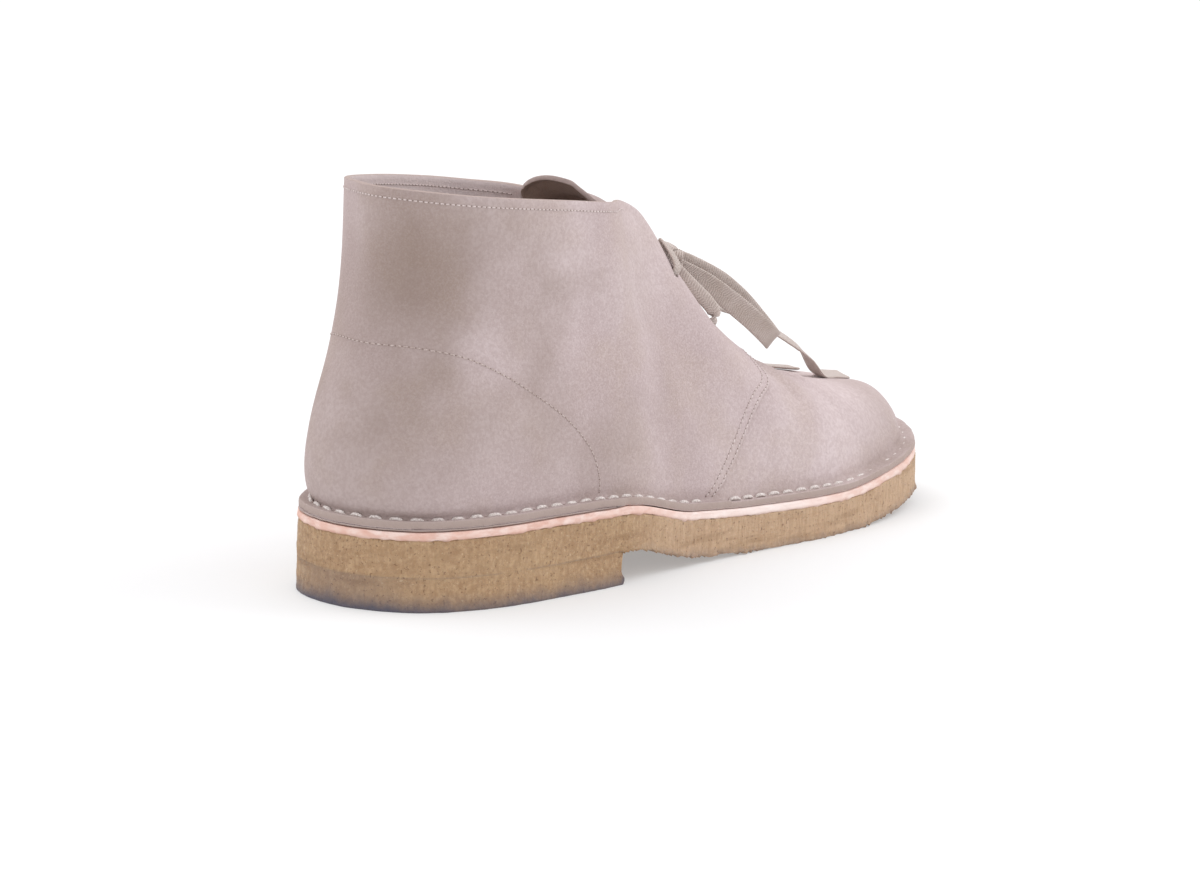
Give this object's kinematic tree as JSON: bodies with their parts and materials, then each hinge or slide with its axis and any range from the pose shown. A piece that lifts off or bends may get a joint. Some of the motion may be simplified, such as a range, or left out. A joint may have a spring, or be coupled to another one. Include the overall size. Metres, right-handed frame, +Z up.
{
  "type": "chukka boot",
  "caption": "Right-foot desert boot in pale suede with a low laced throat, a stitched-down flange, a leather midsole and a crepe rubber sole with a separate heel.",
  "frame": {"origin": "centre of the sole's box, on the ground", "axes": "+X towards the toe, +Y towards the medial side, +Z up"},
  "size_m": [0.296, 0.0994, 0.1355],
  "materials": {
    "crepe": "matte",
    "midsole_leather": "satin",
    "insole_board": "matte",
    "suede": "matte",
    "lace": "matte"
  },
  "bodies": {
    "root": {"heel": "crepe", "outsole": "crepe", "midsole": "midsole_leather", "insole": "insole_board", "upper": "suede", "tongue": "suede", "lace_crossings": "lace", "lace_knot": "lace", "lace_loop_lateral": "lace", "lace_end_lateral": "lace", "lace_loop_medial": "lace", "lace_end_medial": "lace"}
  },
  "joints": []
}
